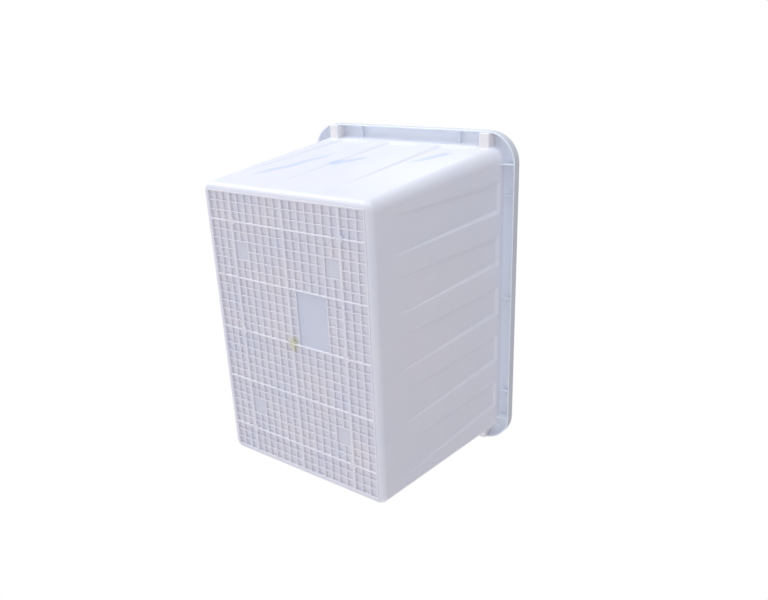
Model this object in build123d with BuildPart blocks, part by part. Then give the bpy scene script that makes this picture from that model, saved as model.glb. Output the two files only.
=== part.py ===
from build123d import *
import os

# A large moulded tub, standing upright: +Z up, +X along its length, +Y across its width,
# and the origin on the ground under the middle of its base.

# Driving dimensions, in millimetres.
cell = 18.5  # pitch of the square grid of ribs under the base
grid_rows = 30  # cells along the length
grid_columns = 20  # cells across the width
tub_height = 425.0
base_length = 582.0  # outer faces of the walls where they meet the base
base_width = 398.0
base_corner = 20.0  # radius of the upright corners at the base
mouth_length = 642.0  # outer faces of the walls under the rim
mouth_width = 462.0
mouth_corner = 28.0
rim_length = 700.0  # over the rim
rim_width = 512.0
rim_corner = 64.0
wall = 4.0
floor_thickness = 4.0
flange_thickness = 3.5
skirt_depth = 23.0  # from the rim's top face to the lower edge of its skirt
skirt_thickness = 3.0
foot_round = 12.0  # rounding between the base and the walls
floor_round = 13.0  # the same inside

# Ribs under the base.
main_rib_depth = 6.0  # from the floor's underside to the ground
long_rib_gap = 0.8  # how far the lengthwise ribs stay off the ground
thin_rib_gap = 1.5  # the same for the thin ribs
shell_gap = 1.0  # and for the shell around them
cross_rib = 3.0
long_rib = 6.0
thin_rib = 1.8
edge_rib = 3.0
boss_radius = 7.4
pad_thickness = 2.0
cross_ribs = 5
cross_rib_pitch = 6 * cell
long_ribs = 3
long_rib_pitch = 7 * cell
label_pad = (6 * cell, 4 * cell)
label_place = (3 * cell, 3 * cell)
corner_pad = (2 * cell, 2 * cell)
corner_pad_pitch = (18 * cell, 12 * cell)

# Recessed panels in the walls: deepest at their upper end, and running out towards the base.
panel_depth = 5.0
panel_slope = 2.4  # run of a panel's sloping sides, for each unit of depth
panel_top = 21.5 * cell
panel_bottom = 50.0
side_panel_width = 3.85 * cell
side_panel_pitch = 6 * cell
side_panels = 5
end_panel_width = 4.8 * cell
end_panel_pitch = 7 * cell
end_panels = 3

# Webs and blocks in the channel under the rim.
web = 2.0
web_rise = 9.0  # from the skirt's lower edge up to a small web's
side_web_pitch = 12 * cell
end_web_place = 6.8 * cell
corner_web_place = 15.5 * cell
corner_web_drop = 22.0  # how far a corner web runs down the wall below the skirt
corner_web_sag = 5.0
stop_place = 10.4 * cell  # middle of a block, from the tub's centre plane
stop_width = 22.0
stop_foot = 392.0
stop_round = 2.0

# Worked out from these.
floor_foot = main_rib_depth
floor_top = floor_foot + floor_thickness
wall_top = tub_height - flange_thickness
skirt_foot = tub_height - skirt_depth
grid_length = grid_rows * cell
grid_width = grid_columns * cell
inside_length = grid_length - edge_rib
inside_width = grid_width - edge_rib
skirt_inside_length = rim_length / 2 - skirt_thickness
skirt_inside_width = rim_width / 2 - skirt_thickness

os.makedirs("parts", exist_ok=True)


def wall_section(height, inset=0.0):
    # Length, width and corner radius of the wall's outer face at a height, less an inset all round.
    rise = (height - shell_gap) / (wall_top - shell_gap)
    length = base_length + (mouth_length - base_length) * rise
    width = base_width + (mouth_width - base_width) * rise
    radius = base_corner + (mouth_corner - base_corner) * rise
    return length - 2 * inset, width - 2 * inset, radius - inset


def save(piece, name):
    # Labels a finished piece and writes it to its own file.
    piece.part.label = name
    export_step(piece.part, f"parts/{name}.step")


def panel_wedge(section_side, panel_width, inset, top):
    # One panel's recess, on the +Y wall: a wedge with sloping sides that grows deeper upwards.
    # section_side is 0 for an end wall's distance from the middle, and 1 for a side wall's.
    outside = 3.0  # how far the wedge stands out of the wall, so that it cuts cleanly
    start = -0.5  # its depth at its lower end, which is still clear of the wall
    deepening = panel_depth / (panel_top - panel_bottom)
    bottom = panel_bottom + start / deepening
    half = panel_width / 2
    half_outside = half + outside * panel_slope
    with BuildPart() as wedge:
        for height in (bottom, top):
            depth = start + (height - bottom) * deepening
            half_inside = half - depth * panel_slope
            face = wall_section(height, inset)[section_side] / 2
            with BuildSketch(Plane.XY.offset(height)):
                with BuildLine():
                    Polyline(
                        (-half_outside, face + outside),
                        (half_outside, face + outside),
                        (half_inside, face - depth),
                        (-half_inside, face - depth),
                        close=True,
                    )
                make_face()
        loft()
    return wedge.part


def panel_wedges(inset, top):
    # The recesses of all four walls.
    side_wedge = panel_wedge(1, side_panel_width, inset, top)
    end_wedge = panel_wedge(0, end_panel_width, inset, top)
    with BuildPart() as wedges:
        for turn in (0, 180):
            with Locations(Location((0, 0, 0), (0, 0, turn))):
                with GridLocations(side_panel_pitch, 1, side_panels, 1):
                    add(side_wedge)
            with Locations(Location((0, 0, 0), (0, 0, turn + 90))):
                with GridLocations(end_panel_pitch, 1, end_panels, 1):
                    add(end_wedge)
    return wedges.part


# The solid that the walls' outer faces enclose, down to the rounded foot.
with BuildPart() as outer_form:
    for height in (shell_gap, wall_top):
        with BuildSketch(Plane.XY.offset(height)):
            RectangleRounded(*wall_section(height))
    loft()
    fillet(outer_form.edges().group_by(Axis.Z)[0], foot_round)

# The space inside the tub, with the panels standing into it by as much as they sink in outside.
with BuildPart() as inner_form:
    for height in (floor_top, wall_top):
        with BuildSketch(Plane.XY.offset(height)):
            RectangleRounded(*wall_section(height, wall))
    loft()
    fillet(inner_form.edges().group_by(Axis.Z)[0], floor_round)
    add(panel_wedges(wall, panel_top + wall), mode=Mode.SUBTRACT)

# The shell: floor, four walls and the pocket under the floor that the ribs stand in.
with BuildPart() as tub_shell:
    add(outer_form.part)
    add(panel_wedges(0, panel_top), mode=Mode.SUBTRACT)
    add(inner_form.part, mode=Mode.SUBTRACT)
    with BuildSketch():
        RectangleRounded(grid_length + edge_rib, grid_width + edge_rib, edge_rib)
    extrude(amount=floor_foot, mode=Mode.SUBTRACT)
save(tub_shell, "tub_shell")

# The rim: a flat flange on top of the walls, and a skirt hanging from its edge.
with BuildPart() as rim_flange:
    with BuildSketch(Plane.XY.offset(wall_top)):
        RectangleRounded(rim_length, rim_width, rim_corner)
        RectangleRounded(*wall_section(wall_top, wall), mode=Mode.SUBTRACT)
    extrude(amount=flange_thickness)
    fillet(rim_flange.edges().group_by(Axis.Z)[-1], flange_thickness / 2)
save(rim_flange, "rim_flange")

with BuildPart() as rim_skirt:
    with BuildSketch(Plane.XY.offset(skirt_foot)):
        RectangleRounded(rim_length, rim_width, rim_corner)
        offset(amount=-skirt_thickness, mode=Mode.SUBTRACT)
    extrude(amount=wall_top - skirt_foot)
save(rim_skirt, "rim_skirt")

# The channel between the walls and the skirt. The webs and blocks are cut to it.
with BuildPart() as channel:
    with BuildSketch(Plane.XY.offset(stop_foot - corner_web_drop)):
        RectangleRounded(rim_length, rim_width, rim_corner)
        offset(amount=-skirt_thickness, mode=Mode.REPLACE)
    extrude(amount=wall_top - stop_foot + corner_web_drop)
    add(outer_form.part, mode=Mode.SUBTRACT)


def channel_webs(places):
    # Small upright webs across the channel. Each place is a middle, with its web's size along X and Y.
    with BuildPart() as webs:
        for x, y, length, width in places:
            with BuildSketch(Plane.XY.offset(skirt_foot + web_rise)):
                with Locations((x, y)):
                    Rectangle(length, width)
        extrude(amount=wall_top - skirt_foot - web_rise)
        add(channel.part, mode=Mode.INTERSECT)
    return webs


channel_middle_x = (mouth_length + rim_length) / 4
channel_middle_y = (mouth_width + rim_width) / 4
web_reach = (rim_length - mouth_length) / 2 + 2 * wall

side_webs = channel_webs(
    [
        (step * side_web_pitch, side * channel_middle_y, web, web_reach)
        for step in (-1, 0, 1)
        for side in (-1, 1)
    ]
)
save(side_webs, "side_webs")

end_webs = channel_webs(
    [
        (end * channel_middle_x, side * end_web_place, web_reach, web)
        for end in (-1, 1)
        for side in (-1, 1)
    ]
)
save(end_webs, "end_webs")

# A larger web at each corner, where the rim's side turns into its corner: its hollow lower edge
# runs from the skirt down the wall.
corners = [(1, 1), (-1, 1), (-1, -1), (1, -1)]
wall_side = mouth_width / 2 - base_corner
web_plane = Plane(origin=(corner_web_place - web / 2, 0, 0), x_dir=(0, 1, 0), z_dir=(1, 0, 0))
with BuildPart() as corner_web:
    with BuildSketch(web_plane):
        with BuildLine():
            Polyline(
                (skirt_inside_width, skirt_foot),
                (skirt_inside_width, wall_top),
                (wall_side, wall_top),
                (wall_side, skirt_foot - corner_web_drop),
            )
            SagittaArc(
                (wall_side, skirt_foot - corner_web_drop),
                (skirt_inside_width, skirt_foot),
                corner_web_sag,
            )
        make_face()
    extrude(amount=web)
    add(channel.part, mode=Mode.INTERSECT)

# A block beside each corner, across the rim's ends. A tub nested in another rests on them.
with BuildPart() as stop_block:
    with Locations((skirt_inside_length, stop_place, stop_foot)):
        Box(
            rim_length - mouth_length,
            stop_width,
            wall_top - stop_foot,
            align=(Align.MAX, Align.CENTER, Align.MIN),
        )
    fillet(stop_block.faces().sort_by(Axis.Z)[0].edges(), stop_round)
    add(channel.part, mode=Mode.INTERSECT)

for number, (end, side) in enumerate(corners, start=1):
    for piece, name in ((corner_web, "corner_web"), (stop_block, "stop_block")):
        with BuildPart() as placed:
            add(piece.part)
            if end < 0:
                mirror(about=Plane.YZ, mode=Mode.REPLACE)
            if side < 0:
                mirror(about=Plane.XZ, mode=Mode.REPLACE)
        save(placed, f"{name}_{number}")

# The rib that frames the pocket under the floor.
with BuildPart() as edge_frame:
    with BuildSketch():
        RectangleRounded(grid_length + edge_rib, grid_width + edge_rib, edge_rib)
        Rectangle(inside_length, inside_width, mode=Mode.SUBTRACT)
    extrude(amount=main_rib_depth)
save(edge_frame, "edge_rib")

# Plans of the pieces inside that frame. Each of them is cut away from the ones after it.
# The bosses stand where every second cross rib meets an outer long rib.
with BuildSketch() as boss_plan:
    with GridLocations(2 * cross_rib_pitch, 2 * long_rib_pitch, 3, 2):
        Circle(boss_radius)

with BuildSketch() as centre_plan:
    Circle(boss_radius)

with BuildSketch() as cross_plan:
    with GridLocations(cross_rib_pitch, 1, cross_ribs, 1):
        Rectangle(cross_rib, inside_width)
    add(boss_plan.sketch, mode=Mode.SUBTRACT)
    add(centre_plan.sketch, mode=Mode.SUBTRACT)

with BuildSketch() as long_plan:
    with GridLocations(1, long_rib_pitch, 1, long_ribs):
        Rectangle(inside_length, long_rib)
    with GridLocations(cross_rib_pitch, 1, cross_ribs, 1):
        Rectangle(cross_rib, inside_width, mode=Mode.SUBTRACT)
    add(boss_plan.sketch, mode=Mode.SUBTRACT)
    add(centre_plan.sketch, mode=Mode.SUBTRACT)

with BuildSketch() as label_plan:
    with Locations(label_place):
        Rectangle(label_pad[0] - cross_rib, label_pad[1] - thin_rib)

with BuildSketch() as corner_plan:
    with GridLocations(*corner_pad_pitch, 2, 2):
        Rectangle(corner_pad[0] - thin_rib, corner_pad[1] - thin_rib)
    add(long_plan.sketch, mode=Mode.SUBTRACT)

with BuildSketch() as thin_plan:
    Rectangle(inside_length, inside_width)
    with GridLocations(cell, cell, grid_rows, grid_columns):
        Rectangle(cell - thin_rib, cell - thin_rib, mode=Mode.SUBTRACT)
    for taken in (cross_plan, long_plan, boss_plan, centre_plan, label_plan, corner_plan):
        add(taken.sketch, mode=Mode.SUBTRACT)

# Each of those pieces, from its gap over the ground up to the floor.
pieces = (
    ("gate_bosses", boss_plan, 0),
    ("centre_boss", centre_plan, 0),
    ("cross_ribs", cross_plan, 0),
    ("long_ribs", long_plan, long_rib_gap),
    ("thin_ribs", thin_plan, thin_rib_gap),
    ("label_pad", label_plan, main_rib_depth - pad_thickness),
    ("corner_pads", corner_plan, main_rib_depth - pad_thickness),
)
for name, plan, gap in pieces:
    with BuildPart() as piece:
        with BuildSketch(Plane.XY.offset(gap)):
            add(plan.sketch)
        extrude(amount=main_rib_depth - gap)
    save(piece, name)
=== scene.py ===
import math

import bmesh
import bpy
from mathutils import Matrix, Vector


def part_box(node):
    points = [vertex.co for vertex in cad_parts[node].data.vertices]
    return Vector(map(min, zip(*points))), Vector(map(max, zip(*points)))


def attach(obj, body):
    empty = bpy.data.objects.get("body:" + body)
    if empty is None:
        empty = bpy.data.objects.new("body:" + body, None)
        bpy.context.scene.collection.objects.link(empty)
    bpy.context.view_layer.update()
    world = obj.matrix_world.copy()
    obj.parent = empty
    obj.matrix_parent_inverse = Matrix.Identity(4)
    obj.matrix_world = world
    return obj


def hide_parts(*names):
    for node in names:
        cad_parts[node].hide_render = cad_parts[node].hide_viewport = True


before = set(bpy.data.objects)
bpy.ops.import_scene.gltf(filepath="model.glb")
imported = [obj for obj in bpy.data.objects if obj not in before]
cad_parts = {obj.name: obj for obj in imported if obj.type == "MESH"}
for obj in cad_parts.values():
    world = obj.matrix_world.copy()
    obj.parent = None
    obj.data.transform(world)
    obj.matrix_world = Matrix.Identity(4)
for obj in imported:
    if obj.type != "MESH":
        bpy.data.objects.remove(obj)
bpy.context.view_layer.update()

# A large white moulded tub, standing upright on the ribs under its base. All sizes are metres.
mm = 0.001
scene = bpy.context.scene

# Shared sizes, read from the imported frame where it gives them.
shellLow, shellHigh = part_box("tub_shell")
flangeLow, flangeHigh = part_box("rim_flange")
skirtLow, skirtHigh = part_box("rim_skirt")
edgeLow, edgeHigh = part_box("edge_rib")
shape = {
    "cell": 18.5 * mm,              # pitch of the ribs under the base
    "wall": 4 * mm,
    "baseLength": 582 * mm, "baseWidth": 398 * mm, "baseCorner": 20 * mm,
    "mouthLength": 2 * shellHigh.x, "mouthWidth": 2 * shellHigh.y, "mouthCorner": 28 * mm,
    "foot": shellLow.z, "wallTop": flangeLow.z,
    "rimLength": 2 * flangeHigh.x, "rimWidth": 2 * flangeHigh.y, "rimCorner": 64 * mm,
    "top": flangeHigh.z, "skirtFoot": skirtLow.z,
    "ribTop": edgeHigh.z,           # underside of the floor
    "cornerSteps": 14,
    "hair": 0.05 * mm, "near": 0.001 * mm,
    "facing": 0.9,                  # least share of a normal along the axis that it faces
}
cell = shape["cell"]


def selectOnly(*objects):
    if bpy.context.mode != "OBJECT":
        bpy.ops.object.mode_set(mode="OBJECT")
    bpy.ops.object.select_all(action="DESELECT")
    for one in objects:
        one.select_set(True)
    bpy.context.view_layer.objects.active = objects[0]


def enterEdit(one, kind="VERT"):
    selectOnly(one)
    bpy.ops.object.mode_set(mode="EDIT")
    bpy.ops.mesh.select_mode(type=kind)
    bpy.ops.mesh.select_all(action="DESELECT")


def leaveEdit():
    bpy.ops.object.mode_set(mode="OBJECT")


def pick(one, kind, test):
    # Selects only the vertices, edges or faces that pass the test
    bpy.ops.mesh.select_mode(type={"verts": "VERT", "edges": "EDGE", "faces": "FACE"}[kind])
    bpy.ops.mesh.select_all(action="DESELECT")
    mesh = bmesh.from_edit_mesh(one.data)
    mesh.verts.ensure_lookup_table()
    for part in [part for part in getattr(mesh, kind) if test(part)]:
        part.select_set(True)
    mesh.select_flush_mode()
    bmesh.update_edit_mesh(one.data)


def finishShape(one, angle, weighted=True):
    selectOnly(one)
    bpy.ops.object.transform_apply(location=True, rotation=True, scale=True)
    bpy.ops.object.shade_smooth_by_angle(angle=math.radians(angle))
    if weighted:
        one.modifiers.new("weights", "WEIGHTED_NORMAL").keep_sharp = True
        bpy.ops.object.modifier_apply(modifier="weights")


def handOver(one, slot, *nodes):
    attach(one, "root")
    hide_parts(*nodes)


def joined(first, *others):
    selectOnly(first, *others)
    bpy.ops.object.join()
    return first


def addCube(name, size, place):
    bpy.ops.object.select_all(action="DESELECT")
    bpy.ops.mesh.primitive_cube_add(size=1, location=place)
    one = bpy.context.active_object
    one.name = name
    one.scale = size
    bpy.ops.object.transform_apply(location=True, rotation=True, scale=True)
    return one


def startEmptyMesh(name):
    bpy.ops.object.select_all(action="DESELECT")
    bpy.ops.mesh.primitive_plane_add(size=1)
    one = bpy.context.active_object
    one.name = name
    enterEdit(one)
    bpy.ops.mesh.select_all(action="SELECT")
    bpy.ops.mesh.delete(type="VERT")
    return one


def addRing(length, width, radius, height):
    # One rounded rectangle of edges, from a plane with its corners bevelled round
    bpy.ops.mesh.select_all(action="DESELECT")
    bpy.ops.mesh.primitive_plane_add(size=1, location=(0, 0, height))
    bpy.ops.transform.resize(value=(length, width, 1), center_override=(0, 0, height))
    bpy.ops.mesh.bevel(affect="VERTICES", offset=radius, segments=shape["cornerSteps"], profile=0.5)
    bpy.ops.mesh.delete(type="ONLY_FACE")


def setApart(rings):
    # Level rings bridge wrongly, so one as high as the last ring, or the first, goes a hair lower
    apart = [rings[0]]
    for *outline, height in rings[1:]:
        isLevel = min(abs(height - apart[-1][3]), abs(height - apart[0][3])) < shape["hair"] / 2
        apart.append((*outline, height - shape["hair"] if isLevel else height))
    return apart


def ringLoft(name, rings, closed=False):
    # A skin through all the rings in turn, closed on itself or capped at both ends
    one = startEmptyMesh(name)
    rings = setApart(rings)
    perRing = 4 * (shape["cornerSteps"] + 1)
    for ring in rings:
        addRing(*ring)

    def isIn(vertex, ringNumber):
        return ringNumber * perRing <= vertex.index < (ringNumber + 1) * perRing

    pairs = [(k, k + 1) for k in range(len(rings) - 1)]
    ends = (0, len(rings) - 1)
    if closed:
        pairs.append((ends[1], ends[0]))
    for a, b in pairs:
        pick(one, "edges", lambda e: any(all(isIn(v, k) for v in e.verts) for k in (a, b)))
        bpy.ops.mesh.bridge_edge_loops()
    if not closed:
        for k in ends:
            pick(one, "edges", lambda e: all(isIn(v, k) for v in e.verts))
            bpy.ops.mesh.edge_face_add()
    bpy.ops.mesh.select_all(action="SELECT")
    bpy.ops.mesh.normals_make_consistent(inside=False)
    leaveEdit()
    return one


def wallRing(height, inset=0.0):
    # The wall's outline at a height, less an inset all round
    rise = (height - shape["foot"]) / (shape["wallTop"] - shape["foot"])
    length = shape["baseLength"] + (shape["mouthLength"] - shape["baseLength"]) * rise
    width = shape["baseWidth"] + (shape["mouthWidth"] - shape["baseWidth"]) * rise
    radius = shape["baseCorner"] + (shape["mouthCorner"] - shape["baseCorner"]) * rise
    return (length - 2 * inset, width - 2 * inset, radius - inset, height)


def rimRing(height, inset=0.0):
    length, width = shape["rimLength"] - 2 * inset, shape["rimWidth"] - 2 * inset
    return (length, width, shape["rimCorner"] - inset, height)


def roundedSteps(count, start=0.0, end=90.0):
    # Sine and cosine at even steps through an angle
    for k in range(count + 1):
        turn = math.radians(start + (end - start) * k / count)
        yield math.sin(turn), math.cos(turn)


def newMaterial(name):
    material = bpy.data.materials.new(name)
    material.use_nodes = True
    return material, material.node_tree.nodes, material.node_tree.links


def noiseAt(nodes, links, source, scale, detail, rough, stretch=None):
    noise = nodes.new("ShaderNodeTexNoise")
    noise.inputs["Scale"].default_value = scale
    noise.inputs["Detail"].default_value = detail
    noise.inputs["Roughness"].default_value = rough
    if stretch:
        mapping = nodes.new("ShaderNodeMapping")
        mapping.inputs["Scale"].default_value = stretch
        links.new(source, mapping.inputs["Vector"])
        source = mapping.outputs["Vector"]
    links.new(source, noise.inputs["Vector"])
    return noise.outputs["Fac"]


def rampOf(nodes, links, source, low, high, lowAt, highAt):
    ramp = nodes.new("ShaderNodeValToRGB")
    ramp.color_ramp.elements[0].position = lowAt
    ramp.color_ramp.elements[1].position = highAt
    ramp.color_ramp.elements[0].color = (*low, 1)
    ramp.color_ramp.elements[1].color = (*high, 1)
    links.new(source, ramp.inputs["Fac"])
    return ramp.outputs["Color"]


def mixColours(nodes, links, factor, a, b, kind="MIX"):
    mix = nodes.new("ShaderNodeMix")
    mix.data_type = "RGBA"
    mix.blend_type = kind
    links.new(factor, mix.inputs[0])
    for value, socket in ((a, mix.inputs[6]), (b, mix.inputs[7])):
        if isinstance(value, tuple):
            socket.default_value = (*value, 1)
        else:
            links.new(value, socket)
    return mix.outputs[2]


def bumpOf(nodes, links, height, strength, distance, under=None):
    bump = nodes.new("ShaderNodeBump")
    bump.inputs["Strength"].default_value = strength
    bump.inputs["Distance"].default_value = distance
    links.new(height, bump.inputs["Height"])
    if under:
        links.new(under, bump.inputs["Normal"])
    return bump.outputs["Normal"]


def stainMask(nodes, links, place, look):
    # Strong at the moulding gate in the middle, and ragged where it fades out
    away = nodes.new("ShaderNodeVectorMath")
    away.operation = "LENGTH"
    links.new(place, away.inputs[0])
    spread = nodes.new("ShaderNodeMath")
    spread.operation = "MULTIPLY_ADD"
    links.new(noiseAt(nodes, links, place, *look["stainNoise"]), spread.inputs[0])
    spread.inputs[1].default_value = look["stainBlur"]
    links.new(away.outputs["Value"], spread.inputs[2])
    return rampOf(nodes, links, spread.outputs[0], (1, 1, 1), (0, 0, 0), *look["stainReach"])


def paintedSheenMask(nodes, links, place, look, middle, size, lean):
    # A long oval with a wavy edge, the mask of one patch of painted sheen
    wave = nodes.new("ShaderNodeTexNoise")
    wave.inputs["Scale"].default_value = look["sheenScale"]
    links.new(place, wave.inputs["Vector"])
    shift = nodes.new("ShaderNodeVectorMath")
    shift.operation = "MULTIPLY_ADD"
    links.new(wave.outputs["Color"], shift.inputs[0])
    shift.inputs[1].default_value = (look["sheenBlur"] * 2,) * 3
    links.new(place, shift.inputs[2])
    oval = nodes.new("ShaderNodeMapping")
    oval.vector_type = "TEXTURE"
    oval.inputs["Location"].default_value = [along + look["sheenBlur"] for along in middle]
    oval.inputs["Rotation"].default_value = (math.radians(lean), 0, 0)
    oval.inputs["Scale"].default_value = size
    links.new(shift.outputs[0], oval.inputs["Vector"])
    away = nodes.new("ShaderNodeVectorMath")
    away.operation = "LENGTH"
    links.new(oval.outputs["Vector"], away.inputs[0])
    return rampOf(nodes, links, away.outputs["Value"], (1, 1, 1), (0, 0, 0), *look["sheenEdge"])


def tubPlastic(name, look):
    # White polyethylene: it lets light in, is faintly mottled, and fine scuffs dull its soft gloss. Where
    # a look lists sheen patches, a bluish painted reflection is multiplied into its colour
    material, nodes, links = newMaterial(name)
    shader = nodes["Principled BSDF"]
    place = nodes.new("ShaderNodeTexCoord").outputs["Object"]
    mottle = noiseAt(nodes, links, place, *look["mottleNoise"])
    colour = rampOf(nodes, links, mottle, look["cool"], look["warm"], *look["noiseRange"])
    scuffs = noiseAt(nodes, links, place, *look["scuffNoise"], stretch=look["scuffStretch"])
    scuffMask = rampOf(nodes, links, scuffs, (0, 0, 0), (1, 1, 1), *look["scuffReach"])
    colour = mixColours(nodes, links, scuffMask, colour, look["scuff"])
    # Painted reflection: the sheen colour is multiplied in over each patch
    for sheenPatch in look.get("sheenPatches", []):
        mask = paintedSheenMask(nodes, links, place, look, *sheenPatch)
        colour = mixColours(nodes, links, mask, colour, look["sheen"], "MULTIPLY")
    if look.get("stain"):
        mask = stainMask(nodes, links, place, look)
        colour = mixColours(nodes, links, mask, colour, look["stain"])
    links.new(colour, shader.inputs["Base Color"])
    haze = noiseAt(nodes, links, place, *look["hazeNoise"])
    rough = rampOf(nodes, links, haze, (look["gloss"],) * 3, (look["dull"],) * 3, *look["noiseRange"])
    roughMix = mixColours(nodes, links, scuffMask, rough, (look["dull"] + look["scuffDull"],) * 3)
    links.new(roughMix, shader.inputs["Roughness"])
    grain = noiseAt(nodes, links, place, *look["grainNoise"])
    ripple = noiseAt(nodes, links, place, *look["rippleNoise"])
    fine = bumpOf(nodes, links, grain, look["grain"], look["grainDepth"])
    broad = bumpOf(nodes, links, ripple, look["ripple"], look["rippleDepth"], fine)
    links.new(broad, shader.inputs["Normal"])
    shader.inputs["Subsurface Weight"].default_value = look["glow"]
    shader.inputs["Subsurface Radius"].default_value = look["glowRadius"]
    shader.inputs["Subsurface Scale"].default_value = look["glowDepth"]
    shader.inputs["IOR"].default_value = look["refraction"]
    return material


# A noise is given as its scale, detail and roughness
whiteLook = {
    "cool": (0.800, 0.800, 0.875), "warm": (0.835, 0.815, 0.865), "mottleNoise": (7.0, 3.0, 0.55),
    "scuff": (0.86, 0.85, 0.88), "scuffNoise": (60, 5.0, 0.6), "scuffDull": 0.12,
    "scuffStretch": (1.0, 0.3, 0.15), "scuffReach": (0.62, 0.85),
    "gloss": 0.30, "dull": 0.42, "hazeNoise": (26, 4.0, 0.6), "noiseRange": (0.3, 0.7),
    "grain": 0.25, "grainDepth": 0.1 * mm, "grainNoise": (1400, 2.0, 0.5),
    "ripple": 0.10, "rippleDepth": 0.6 * mm, "rippleNoise": (34, 2.0, 0.45),
    "glow": 0.3, "glowRadius": (1.0, 0.98, 0.95), "glowDepth": 1.2 * mm, "refraction": 1.5,
}
looks = {
    "shellWhite": {
        **whiteLook,
        "sheen": (0.80, 0.87, 1.0), "sheenBlur": 14 * mm, "sheenScale": 14, "sheenEdge": (0.75, 1.0),
        "sheenPatches": [        # painted reflection: sheen patches, each as its middle, half of each size, and lean, on the +X end wall
            ((312 * mm, -118 * mm, 168 * mm), (30 * mm, 12 * mm, 135 * mm), -10),
            ((315 * mm, -25 * mm, 232 * mm), (30 * mm, 13 * mm, 56 * mm), -27),
            ((317 * mm, 120 * mm, 300 * mm), (30 * mm, 16 * mm, 60 * mm), -20),
        ],
    },
    # The rim and its webs: a lighter, bluer copy of the plastic, painted light in the shaded channel
    # under the rim
    "rimLitWhite": {**whiteLook, "cool": (0.86, 0.90, 0.98), "warm": (0.87, 0.90, 0.97)},
    # The skirt's outer face: a darker, bluer copy of the plastic, painted shade
    "skirtShadedWhite": {
        **whiteLook, "cool": (0.64, 0.655, 0.71), "warm": (0.67, 0.68, 0.73),
        "gloss": 0.4, "dull": 0.5,
    },
    "ribWhite": {
        **whiteLook, "warm": (0.85, 0.82, 0.85), "mottleNoise": (12.0, 3.0, 0.55),
        "gloss": 0.40, "dull": 0.55, "ripple": 0.05,
        "stain": (0.74, 0.71, 0.52), "stainNoise": (70, 3.0, 0.6), "stainBlur": 12 * mm,
        "stainReach": (10 * mm, 26 * mm),
    },
    # The cross ribs: a lighter copy of the plastic, painted light along the ribs
    "crossRibLitWhite": {
        **whiteLook, "cool": (0.88, 0.875, 0.93), "warm": (0.90, 0.88, 0.92),
        "gloss": 0.4, "dull": 0.5,
    },
    # The pads: darker, bluer copies of the plastic, painted shade on their flat faces
    "padShadedWhite": {
        **whiteLook, "cool": (0.66, 0.685, 0.79), "warm": (0.69, 0.70, 0.79), "ripple": 0.05,
    },
    "cornerPadShadedWhite": {
        **whiteLook, "cool": (0.70, 0.705, 0.79), "warm": (0.73, 0.72, 0.79), "ripple": 0.05,
    },
    "gateWhite": {
        **whiteLook, "gloss": 0.4, "dull": 0.55,
        "stain": (0.72, 0.68, 0.48), "stainNoise": (70, 3.0, 0.6), "stainBlur": 6 * mm,
        "stainReach": (8 * mm, 16 * mm),
    },
    "stopWhite": {
        **whiteLook, "cool": (0.88, 0.84, 0.86), "warm": (0.89, 0.85, 0.85),
        "gloss": 0.4, "dull": 0.5,
    },
}
materials = {name: tubPlastic(name, look) for name, look in looks.items()}


def paint(one, name):
    one.data.materials.clear()
    one.data.materials.append(materials[name])


shell = {
    "footRound": 12 * mm, "footSteps": 8, "footDraft": 86.0, "flatness": 0.99,
    "floorRound": 13 * mm, "floorTop": 10 * mm,
    "pocketCorner": 3 * mm, "pocketLip": 0.3 * mm,
    "panelBottom": 50 * mm, "panelTop": 21.5 * cell, "panelDepth": 5 * mm,
    "slopeTop": 12 * mm, "slopeBottom": 2 * mm, "slopeSteps": 6, "endSlope": 12 * mm,
    "between": [70 * mm, 110 * mm, 170 * mm, 270 * mm], "deepening": 0.7,
    "sideCentres": [6 * cell * k for k in (-2, -1, 0, 1, 2)], "sideWidth": 3.85 * cell,
    "endCentres": [7 * cell * k for k in (-1, 0, 1)], "endWidth": 4.8 * cell,
}


def makeShell():
    foot, wall = shape["foot"], shape["wall"]
    pocketSize = (2 * edgeHigh.x, 2 * edgeHigh.y, shell["pocketCorner"])
    rings = [(*pocketSize, shape["ribTop"]), (*pocketSize, foot + shell["pocketLip"])]
    pinch = (shape["baseCorner"] - shell["footRound"] - shell["pocketCorner"]) / shell["footRound"]
    for sine, cosine in roundedSteps(shell["footSteps"], 0, shell["footDraft"]):
        inset = shell["footRound"] * (1 - sine)
        length, width, radius, height = wallRing(foot + shell["footRound"] * (1 - cosine), inset)
        rings.append((length, width, radius - inset * pinch, height))
    heights = [shell["panelBottom"], *shell["between"]]
    for step in range(shell["slopeSteps"] + 1):
        heights.append(shell["panelTop"] - shell["endSlope"] * (1 - step / shell["slopeSteps"]))
    heights.append(shape["wallTop"])
    rings += [wallRing(height) for height in heights]
    rings += [wallRing(height, wall) for height in reversed(heights)]
    for sine, cosine in reversed(list(roundedSteps(shell["footSteps"], 0, shell["footDraft"]))):
        height = shell["floorTop"] + shell["floorRound"] * (1 - cosine)
        rings.append(wallRing(height, wall + shell["floorRound"] * (1 - sine)))
    one = ringLoft("tubShell", rings)
    cutPanels(one)
    sinkPanels(one)
    paint(one, "shellWhite")
    finishShape(one, angle=40)
    handOver(one, "shell_plastic", "tub_shell")


panelRise = shell["panelTop"] - shell["panelBottom"]


def wallPanels():
    # The axis each pair of walls faces, the axis along them, and their panels' centres and width
    yield 1, 0, shell["sideCentres"], shell["sideWidth"]
    yield 0, 1, shell["endCentres"], shell["endWidth"]


def isOnWall(normal, height, axis):
    return abs(normal[axis]) > shell["flatness"] and -mm < height - shell["panelBottom"] < panelRise + mm


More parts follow.
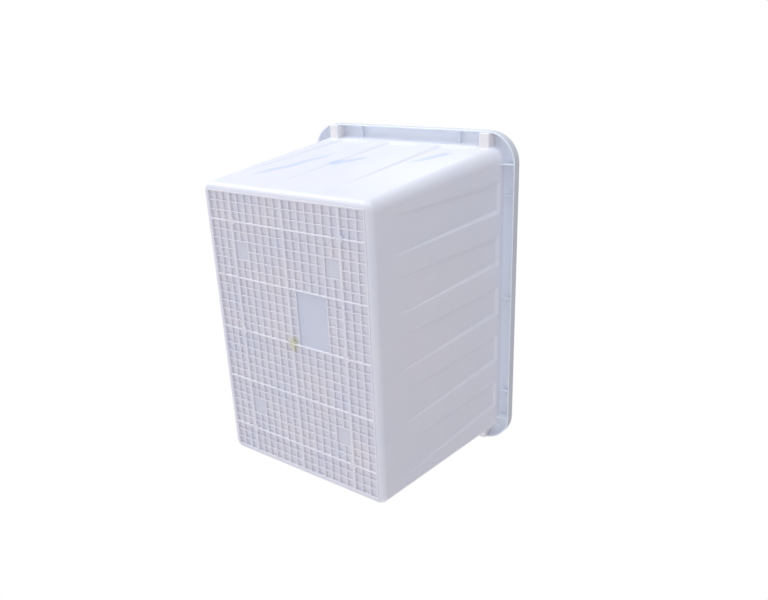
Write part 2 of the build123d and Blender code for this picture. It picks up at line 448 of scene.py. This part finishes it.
def cutPanels(one):
    # Cuts both faces of each wall along the lines that its panels' slopes will bend on
    enterEdit(one, "FACE")
    for axis, along, centres, width in wallPanels():
        for centre in centres:
            for side in (-1, 1):
                for step in range(shell["slopeSteps"] + 1):
                    low = shell["slopeBottom"] * step / shell["slopeSteps"]
                    high = shell["slopeTop"] * step / shell["slopeSteps"]
                    point, cut = [0, 0, shell["panelBottom"]], [0, 0, 0]
                    point[along] = centre + side * (width / 2 - low)
                    cut[along], cut[2] = panelRise, side * (high - low)
                    pick(one, "faces", lambda f: isOnWall(f.normal, f.calc_center_median().z, axis))
                    bpy.ops.mesh.bisect(plane_co=point, plane_no=cut)
    leaveEdit()


def eased(share):
    share = min(max(share, 0), 1)
    return share * share * (3 - 2 * share)


def panelShare(place, axis, along, centres, width):
    # How far into a panel a point lies: 0 on the wall, 1 at the panel's deepest
    up = (place.z - shell["panelBottom"]) / panelRise
    if up <= 0:
        return 0.0
    nearest = min(abs(place[along] - centre) for centre in centres)
    slope = shell["slopeBottom"] + (shell["slopeTop"] - shell["slopeBottom"]) * up
    endShare = eased((shell["panelTop"] - place.z) / shell["endSlope"])
    return up ** shell["deepening"] * endShare * eased((width / 2 - nearest) / slope)


def sinkPanels(one):
    # Pushes the panels into the outer faces, and out of the inner ones, by weight
    faces = {"outerFace": -shell["panelDepth"], "innerFace": shell["panelDepth"]}
    groups = {name: one.vertex_groups.new(name=name) for name in faces}
    for vertex in one.data.vertices:
        for axis, along, centres, width in wallPanels():
            if abs(vertex.normal[axis]) > shape["facing"]:
                share = panelShare(vertex.co, axis, along, centres, width)
                isOuter = vertex.normal[axis] * vertex.co[axis] > 0
                if share > 0:
                    groups["outerFace" if isOuter else "innerFace"].add([vertex.index], share, "REPLACE")
    selectOnly(one)
    for name, strength in faces.items():
        push = one.modifiers.new(name, "DISPLACE")
        push.vertex_group = name
        push.strength = strength
        push.mid_level = 0
        bpy.ops.object.modifier_apply(modifier=name)
    one.vertex_groups.clear()


makeShell()
print("shell made")


rim = {
    "mouthRound": 2.5 * mm, "mouthSteps": 5, "topRound": 3 * mm, "topSteps": 7,
    "lipRound": 1.5 * mm, "lipSteps": 8, "underRound": 7 * mm, "underSteps": 5,
    "wallRound": 12 * mm, "wallSteps": 6,
    "skirt": 3 * mm, "hidden": 2 * mm, "edgeReach": 1.2 * mm, "upright": 0.5,
}


def isOnRimEdge(place):
    corner = shape["rimCorner"]
    outX = max(abs(place.x) - (shape["rimLength"] / 2 - corner), 0)
    outY = max(abs(place.y) - (shape["rimWidth"] / 2 - corner), 0)
    return math.hypot(outX, outY) > corner - rim["edgeReach"]


def paintSkirtShade(one):
    # The outer face of the skirt is duller than the rest of the rim, and painted darker and bluer:
    # painted shade
    one.data.materials.append(materials["skirtShadedWhite"])
    enterEdit(one, "FACE")
    pick(one, "faces", lambda f: abs(f.normal.z) < rim["upright"] and isOnRimEdge(f.calc_center_median()))
    one.active_material_index = 1
    bpy.ops.object.material_slot_assign()
    leaveEdit()


def makeRim():
    # Up over the mouth's edge, out, down round the skirt's lip, and back along the channel to the wall
    top, under, foot = shape["top"], shape["wallTop"], shape["skirtFoot"]
    length, width, radius, height = wallRing(under, shape["wall"])
    rings = [(length, width, radius, height)]
    for sine, cosine in roundedSteps(rim["mouthSteps"]):
        out = rim["mouthRound"] * (1 - cosine)
        height = top - rim["mouthRound"] * (1 - sine)
        rings.append((length + 2 * out, width + 2 * out, radius + out, height))
    for sine, cosine in roundedSteps(rim["topSteps"]):
        rings.append(rimRing(top - rim["topRound"] * (1 - cosine), rim["topRound"] * (1 - sine)))
    for sine, cosine in roundedSteps(rim["lipSteps"], 90, -90):
        rings.append(rimRing(foot + rim["lipRound"] * (1 - cosine), rim["lipRound"] * (1 - sine)))
    for sine, cosine in roundedSteps(rim["underSteps"]):
        inset = rim["skirt"] + rim["underRound"] * (1 - cosine)
        rings.append(rimRing(under - rim["underRound"] * (1 - sine), inset))
    for sine, cosine in roundedSteps(rim["wallSteps"]):
        height = under - rim["wallRound"] * (1 - cosine)
        rings.append(wallRing(height, -rim["wallRound"] * (1 - sine)))
    rings.append(wallRing(under - rim["wallRound"], rim["hidden"]))
    rings.append(wallRing(under, rim["hidden"]))
    one = ringLoft("rim", rings, closed=True)
    # Painted light: the rim gets the lighter, bluer copy of the plastic
    paint(one, "rimLitWhite")
    paintSkirtShade(one)
    finishShape(one, angle=50)
    handOver(one, "rim_plastic", "rim_flange", "rim_skirt")


makeRim()
print("rim made")


ribs = {
    "thin": 1.8 * mm, "thinFoot": 1.5 * mm, "draft": 0.25 * mm, "skin": 0.1 * mm, "backing": 3.5 * mm,
    "rows": 30, "columns": 20,
    "cross": 3 * mm, "crossFoot": 0.0, "crossTaper": 0.82,
    "long": 6 * mm, "longFoot": 0.8 * mm, "longTaper": 0.9, "tipRound": 0.7 * mm, "endWidth": 10 * mm,
    "edge": 3 * mm, "edgeCorner": 0.3 * mm,
    "crossPlaces": [6 * cell * k for k in (-2, -1, 0, 1, 2)],
    "longPlaces": [7 * cell * k for k in (-1, 0, 1)],
    "labelPad": (0, 6, 1, 5),       # first and last cell line along X, then along Y
    "cornerPads": [(x, x + 2, y, y + 2) for x in (-10, 8) for y in (-7, 5)],
    "padRise": 2 * mm, "padRound": 0.8 * mm,
}


def makeThinRibs():
    # A grid whose every cell is inset and pushed up to the floor, with a flat back inside the floor
    length, width = ribs["rows"] * cell, ribs["columns"] * cell
    bpy.ops.object.select_all(action="DESELECT")
    bpy.ops.mesh.primitive_grid_add(
        x_subdivisions=ribs["rows"], y_subdivisions=ribs["columns"],
        size=1, location=(0, 0, ribs["thinFoot"]))
    one = bpy.context.active_object
    one.name = "thinRibs"
    one.scale = (length, width, 1)
    bpy.ops.object.transform_apply(location=True, rotation=True, scale=True)
    enterEdit(one, "FACE")
    bpy.ops.mesh.select_all(action="SELECT")
    bpy.ops.mesh.flip_normals()
    for x0, x1, y0, y1 in [ribs["labelPad"], *ribs["cornerPads"]]:
        pick(one, "faces", lambda f: x0 * cell < f.calc_center_median().x < x1 * cell
             and y0 * cell < f.calc_center_median().y < y1 * cell)
        bpy.ops.mesh.dissolve_faces(use_verts=True)
    bpy.ops.mesh.select_all(action="SELECT")
    bpy.ops.mesh.inset(thickness=ribs["thin"] / 2, use_individual=True)
    depth = shape["ribTop"] - ribs["skin"] - ribs["thinFoot"]
    bpy.ops.mesh.inset(thickness=ribs["draft"], depth=-depth, use_individual=True)
    pick(one, "edges", lambda e: e.is_boundary)
    bpy.ops.mesh.extrude_edges_move(
        TRANSFORM_OT_translate={"value": (0, 0, shape["ribTop"] + ribs["backing"] - ribs["thinFoot"])})
    bpy.ops.mesh.edge_face_add()
    bpy.ops.mesh.select_all(action="SELECT")
    bpy.ops.mesh.normals_make_consistent(inside=False)
    leaveEdit()
    paint(one, "ribWhite")
    finishShape(one, angle=30, weighted=False)
    handOver(one, "rib_plastic", "thin_ribs")


def makeBar(length, width, foot, place, taper):
    # A rib that narrows towards the ground, with a rounded tip
    top = shape["ribTop"] + ribs["backing"]
    one = addCube("bar", (length, width, top - foot), (*place, (foot + top) / 2))
    enterEdit(one, "FACE")
    pick(one, "faces", lambda f: f.normal.z < -shape["facing"])
    across = (taper, 1, 1) if length < width else (1, taper, 1)
    bpy.ops.transform.resize(value=across, center_override=(*place, foot))
    pick(one, "edges", lambda e: e.calc_length() > ribs["endWidth"]
         and all(abs(v.co.z - foot) < shape["near"] for v in e.verts))
    bpy.ops.mesh.bevel(offset=ribs["tipRound"], segments=3, affect="EDGES", profile=0.5)
    leaveEdit()
    return one


def joinBars(name, bars, material, node):
    one = joined(*bars)
    one.name = name
    paint(one, material)
    finishShape(one, angle=40)
    handOver(one, "rib_plastic", node)


def makeMainRibs():
    insideLength, insideWidth = 2 * edgeHigh.x - ribs["edge"], 2 * edgeHigh.y - ribs["edge"]
    bars = [makeBar(ribs["cross"], insideWidth, ribs["crossFoot"], (x, 0), ribs["crossTaper"])
            for x in ribs["crossPlaces"]]
    # Painted light: the cross ribs get the lighter copy of the plastic
    joinBars("crossRibs", bars, "crossRibLitWhite", "cross_ribs")
    bars = [makeBar(insideLength, ribs["long"], ribs["longFoot"], (0, y), ribs["longTaper"])
            for y in ribs["longPlaces"]]
    joinBars("longRibs", bars, "ribWhite", "long_ribs")


def makeEdgeRib():
    length, width, corner = 2 * edgeHigh.x, 2 * edgeHigh.y, shell["pocketCorner"]
    top, tip, thick = shape["ribTop"] + ribs["backing"], ribs["tipRound"], ribs["edge"]
    crown = shape["hair"]

    def ringAt(inset, height):
        return (length - 2 * inset, width - 2 * inset, max(corner - inset, ribs["edgeCorner"]), height)

    rings = [ringAt(0, top + crown)]
    rings += [ringAt(tip * (1 - cosine), crown + tip * (1 - sine)) for sine, cosine in roundedSteps(3)]
    rings.append(ringAt(thick / 2, 0))
    rings += [ringAt(thick - tip * (1 - cosine), crown + tip * (1 - sine))
              for sine, cosine in roundedSteps(3, 90, 0)]
    rings.append(ringAt(thick, top))
    one = ringLoft("edgeRib", rings, closed=True)
    paint(one, "ribWhite")
    finishShape(one, angle=40)
    handOver(one, "rib_plastic", "edge_rib")


def makePad(name, cells):
    # A flat pad over whole cells, less half a thin rib all round
    x0, x1, y0, y1 = (k * cell for k in cells)
    low, high = shape["ribTop"] - ribs["padRise"], shape["ribTop"] + ribs["backing"]
    size = (x1 - x0 - ribs["thin"], y1 - y0 - ribs["thin"], high - low)
    one = addCube(name, size, ((x0 + x1) / 2, (y0 + y1) / 2, (low + high) / 2))
    enterEdit(one, "EDGE")
    pick(one, "edges", lambda e: all(v.co.z < shape["ribTop"] for v in e.verts))
    bpy.ops.mesh.bevel(offset=ribs["padRound"], segments=3, affect="EDGES", profile=0.5)
    leaveEdit()
    return one


def makePads():
    label = makePad("labelPad", ribs["labelPad"])
    # Painted shade: the pads get darker, bluer copies of the plastic
    paint(label, "padShadedWhite")
    finishShape(label, angle=40)
    handOver(label, "pad_plastic", "label_pad")
    small = joined(*[makePad("cornerPads", cells) for cells in ribs["cornerPads"]])
    small.name = "cornerPads"
    paint(small, "cornerPadShadedWhite")
    finishShape(small, angle=40)
    handOver(small, "pad_plastic", "corner_pads")


boss = {
    "radius": 7.4 * mm, "sides": 40, "round": 0.49 * mm, "ring": 1.6 * mm,
    "dish": 0.9 * mm, "dishSlope": 1.26 * mm,
    "nub": 2.2 * mm, "nubRise": 0.72 * mm, "nubSlope": 0.3 * mm, "circleGap": 0.005 * mm,
}


def makeBoss(name, place, gate=False):
    # A round boss with a dished face, and the stub of the moulding gate on the middle one
    top = shape["ribTop"] + ribs["backing"]
    bpy.ops.object.select_all(action="DESELECT")
    bpy.ops.mesh.primitive_cylinder_add(
        vertices=boss["sides"], radius=boss["radius"], depth=top, location=(*place, top / 2))
    one = bpy.context.active_object
    one.name = name
    bpy.ops.object.transform_apply(location=True, rotation=True, scale=True)
    enterEdit(one, "FACE")
    pick(one, "faces", lambda f: f.normal.z < -shape["facing"])
    bpy.ops.mesh.inset(thickness=boss["ring"])
    bpy.ops.mesh.inset(thickness=boss["dishSlope"], depth=-boss["dish"])
    if gate:
        bpy.ops.mesh.inset(thickness=boss["radius"] - boss["ring"] - boss["dishSlope"] - boss["nub"])
        bpy.ops.mesh.inset(thickness=boss["nubSlope"], depth=boss["nubRise"])

    def isOnCircle(edge):
        # Both ends on the ground, and equally far from the middle
        away = [(Vector(v.co.xy) - Vector(place)).length for v in edge.verts]
        isLow = all(abs(v.co.z) < shape["near"] for v in edge.verts)
        return isLow and abs(away[0] - away[1]) < boss["circleGap"]

    pick(one, "edges", isOnCircle)
    bpy.ops.mesh.bevel(offset=boss["round"], segments=2, affect="EDGES", profile=0.5)
    leaveEdit()
    return one


def makeBosses():
    places = [(x, y) for x in ribs["crossPlaces"][::2] for y in ribs["longPlaces"][::2]]
    six = joined(*[makeBoss("gateBosses", place) for place in places])
    six.name = "gateBosses"
    paint(six, "ribWhite")
    finishShape(six, angle=40)
    handOver(six, "rib_plastic", "gate_bosses")
    middle = makeBoss("centreBoss", (0, 0), gate=True)
    paint(middle, "gateWhite")
    finishShape(middle, angle=40)
    handOver(middle, "gate_plastic", "centre_boss")


makeThinRibs()
makeMainRibs()
makeEdgeRib()
makePads()
makeBosses()
print("ribs, pads and bosses made")


trim = {
    "webRound": 0.6 * mm, "stopRound": 2 * mm, "roundSteps": 3,
    "weld": 0.01 * mm, "flatAngle": 4, "roundAngle": 30,
}


def softened(node, name, roundness, material, slot):
    # A copy of a frame piece, its triangles merged into flat faces and its edges rounded
    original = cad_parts[node]
    one = original.copy()
    one.data = original.data.copy()
    one.parent = None
    one.name = name
    for key in list(one.keys()):
        del one[key]
    scene.collection.objects.link(one)
    enterEdit(one)
    bpy.ops.mesh.select_all(action="SELECT")
    bpy.ops.mesh.remove_doubles(threshold=trim["weld"])
    bpy.ops.mesh.dissolve_limited(angle_limit=math.radians(trim["flatAngle"]))
    leaveEdit()
    rounding = one.modifiers.new("round", "BEVEL")
    rounding.width = roundness
    rounding.segments = trim["roundSteps"]
    rounding.limit_method = "ANGLE"
    rounding.angle_limit = math.radians(trim["roundAngle"])
    bpy.ops.object.modifier_apply(modifier="round")
    paint(one, material)
    finishShape(one, angle=40)
    handOver(one, slot, node)


# The webs take the rim's lighter, bluer copy of the plastic, painted light; the stop blocks take their
# own warm white
for number in (1, 2, 3, 4):
    web, block = f"corner_web_{number}", f"stop_block_{number}"
    softened(web, f"cornerWeb{number}", trim["webRound"], "rimLitWhite", "rim_plastic")
    softened(block, f"stopBlock{number}", trim["stopRound"], "stopWhite", "stop_plastic")
softened("side_webs", "sideWebs", trim["webRound"], "rimLitWhite", "rim_plastic")
softened("end_webs", "endWebs", trim["webRound"], "rimLitWhite", "rim_plastic")
print("webs and blocks made")


view = {
    "place": (0.5408, 0.8540, -0.8645), "aim": (0.0354, 0.0716, 0.2),
    "lens": 32.77, "sensor": 36, "reach": 50,
    "upSide": (1, 0, 0),            # the camera's up is along the tub
    "roll": 2.42,
}


def makeCamera():
    camera = bpy.data.objects.new("camera", bpy.data.cameras.new("camera"))
    scene.collection.objects.link(camera)
    camera.data.lens = view["lens"]
    camera.data.sensor_width = view["sensor"]
    back = (Vector(view["place"]) - Vector(view["aim"])).normalized()
    up = Vector(view["upSide"])
    up = (up - back * up.dot(back)).normalized()
    up = Matrix.Rotation(math.radians(view["roll"]), 3, -back) @ up
    right = up.cross(back)
    turn = Matrix((right, up, back)).transposed().to_4x4()
    camera.matrix_world = Matrix.Translation(view["place"]) @ turn
    camera.data.clip_end = view["reach"]
    scene.camera = camera


ground = {"size": 12, "pale": (0.55, 0.55, 0.55, 1), "glow": (1, 1, 1, 1), "glowPower": 0.45, "dull": 0.9}


def makeFloor():
    # Seen only from above, and it neither shades nor blocks what is under it
    bpy.ops.object.select_all(action="DESELECT")
    bpy.ops.mesh.primitive_plane_add(size=ground["size"])
    floor = bpy.context.active_object
    floor.name = "floor"
    material, nodes, links = newMaterial("paleFloor")
    shader = nodes["Principled BSDF"]
    shader.inputs["Base Color"].default_value = ground["pale"]
    shader.inputs["Emission Color"].default_value = ground["glow"]
    shader.inputs["Emission Strength"].default_value = ground["glowPower"]
    shader.inputs["Roughness"].default_value = ground["dull"]
    seen = nodes.new("ShaderNodeLightPath").outputs["Is Camera Ray"]
    behind = nodes.new("ShaderNodeNewGeometry").outputs["Backfacing"]
    front = nodes.new("ShaderNodeMath")
    front.operation = "SUBTRACT"
    front.use_clamp = True
    links.new(seen, front.inputs[0])
    links.new(behind, front.inputs[1])
    mix = nodes.new("ShaderNodeMixShader")
    links.new(front.outputs[0], mix.inputs[0])
    links.new(nodes.new("ShaderNodeBsdfTransparent").outputs[0], mix.inputs[1])
    links.new(shader.outputs[0], mix.inputs[2])
    links.new(mix.outputs[0], nodes["Material Output"].inputs["Surface"])
    floor.data.materials.append(material)


studio = {
    "brightSide": (0.10, -0.50, -0.86),     # the sky is brightest this way
    "skyFar": (0.37, 0.365, 0.39), "skyNear": (0.88, 0.895, 0.95),
    "bounce": (0.06, 0.06, 0.06),           # faint light from the -X side
    "skyPower": 0.96,
    "middle": (0, 0, 0.2),
    "lamps": {      # place, size, power, tint
        "keyEnd": ((2.2, -1.7, -0.3), 1.2, 24, (0.93, 0.98, 1.0)),
        "edgeSoft": ((2.6, 0.75, 0.1), 1.5, 23, (0.84, 0.95, 1.0)),
        "lowSoft": ((-2.6, 0.75, 0.1), 1.5, 12, (1.0, 0.98, 0.97)),
        "topSoft": ((0.3, -0.6, 2.6), 2.4, 16, (1.0, 1.0, 1.0)),
    },
}


def makeWorld():
    # A sky that brightens to one side, with a bounce from -X, and plain white behind everything
    world = bpy.data.worlds.new("studio")
    scene.world = world
    world.use_nodes = True
    nodes, links = world.node_tree.nodes, world.node_tree.links
    direction = nodes.new("ShaderNodeTexCoord").outputs["Generated"]
    facing = nodes.new("ShaderNodeVectorMath")
    facing.operation = "DOT_PRODUCT"
    links.new(direction, facing.inputs[0])
    facing.inputs[1].default_value = studio["brightSide"]
    apart = nodes.new("ShaderNodeSeparateXYZ")
    links.new(direction, apart.inputs[0])
    sky = nodes.new("ShaderNodeMapRange")
    sky.inputs["From Min"].default_value = -1
    links.new(facing.outputs["Value"], sky.inputs["Value"])
    below = nodes.new("ShaderNodeMapRange")
    below.inputs["From Max"].default_value = -1
    links.new(apart.outputs["X"], below.inputs["Value"])
    shade = rampOf(nodes, links, sky.outputs[0], studio["skyFar"], studio["skyNear"], 0, 1)
    bounce = rampOf(nodes, links, below.outputs[0], (0, 0, 0), studio["bounce"], 0, 1)
    both = nodes.new("ShaderNodeVectorMath")
    links.new(shade, both.inputs[0])
    links.new(bounce, both.inputs[1])
    ambient = nodes["Background"]
    ambient.inputs["Strength"].default_value = studio["skyPower"]
    links.new(both.outputs[0], ambient.inputs["Color"])
    backdrop = nodes.new("ShaderNodeBackground")
    backdrop.inputs["Color"].default_value = (1, 1, 1, 1)
    mix = nodes.new("ShaderNodeMixShader")
    links.new(nodes.new("ShaderNodeLightPath").outputs["Is Camera Ray"], mix.inputs[0])
    links.new(ambient.outputs[0], mix.inputs[1])
    links.new(backdrop.outputs[0], mix.inputs[2])
    links.new(mix.outputs[0], nodes["World Output"].inputs["Surface"])


def makeLamp(name, place, size, power, tint):
    lamp = bpy.data.objects.new(name, bpy.data.lights.new(name, "AREA"))
    scene.collection.objects.link(lamp)
    lamp.data.size = size
    lamp.data.energy = power
    lamp.data.color = tint
    lamp.location = place
    lamp.rotation_mode = "QUATERNION"
    lamp.rotation_quaternion = (Vector(studio["middle"]) - Vector(place)).to_track_quat("-Z", "Y")


makeCamera()
makeFloor()
makeWorld()
for name, lamp in studio["lamps"].items():
    makeLamp(name, *lamp)
scene.view_settings.view_transform = "Standard"
print("camera and light made")
